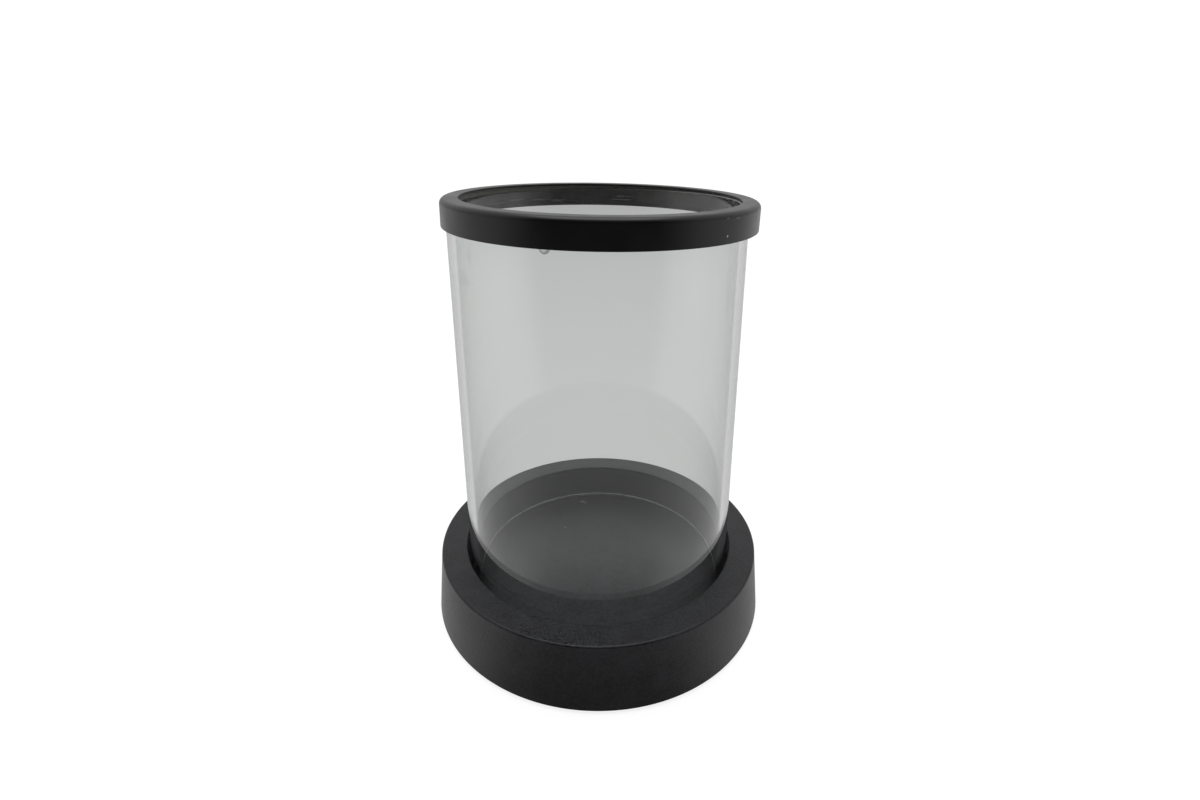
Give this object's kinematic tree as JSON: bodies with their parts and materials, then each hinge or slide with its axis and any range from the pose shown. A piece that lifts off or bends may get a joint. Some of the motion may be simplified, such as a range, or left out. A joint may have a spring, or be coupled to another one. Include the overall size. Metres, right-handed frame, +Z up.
{
  "type": "hurricane candle holder",
  "caption": "Round matt black base with a recess, an open clear glass chimney that stands loose in it and lifts off, and a black rim ring glued over the glass.",
  "frame": {"origin": "centre of the circle of felt pads, on the plane that the object rests on", "axes": "+Z up along the base's and the glass's common axis; -Y is the side with the glue drip; the rim ring leans down towards +X"},
  "size_m": [0.1384, 0.1384, 0.1723],
  "materials": {
    "base_black": "matt, finely speckled",
    "pad_felt": "felt",
    "clear_glass": "clear, ground edges",
    "ring_black": "satin",
    "clear_glue": "clear, set"
  },
  "bodies": {
    "base": {"base": "base_black", "felt_pads": "pad_felt"},
    "chimney": {"glass_tube": "clear_glass", "rim_ring": "ring_black", "rim_adhesive": "clear_glue"}
  },
  "joints": [
    {"name": "chimney_lift", "type": "slide", "parent": "base", "child": "chimney", "axis": [0, 0, 1], "range_m": [0, 0.16]}
  ]
}
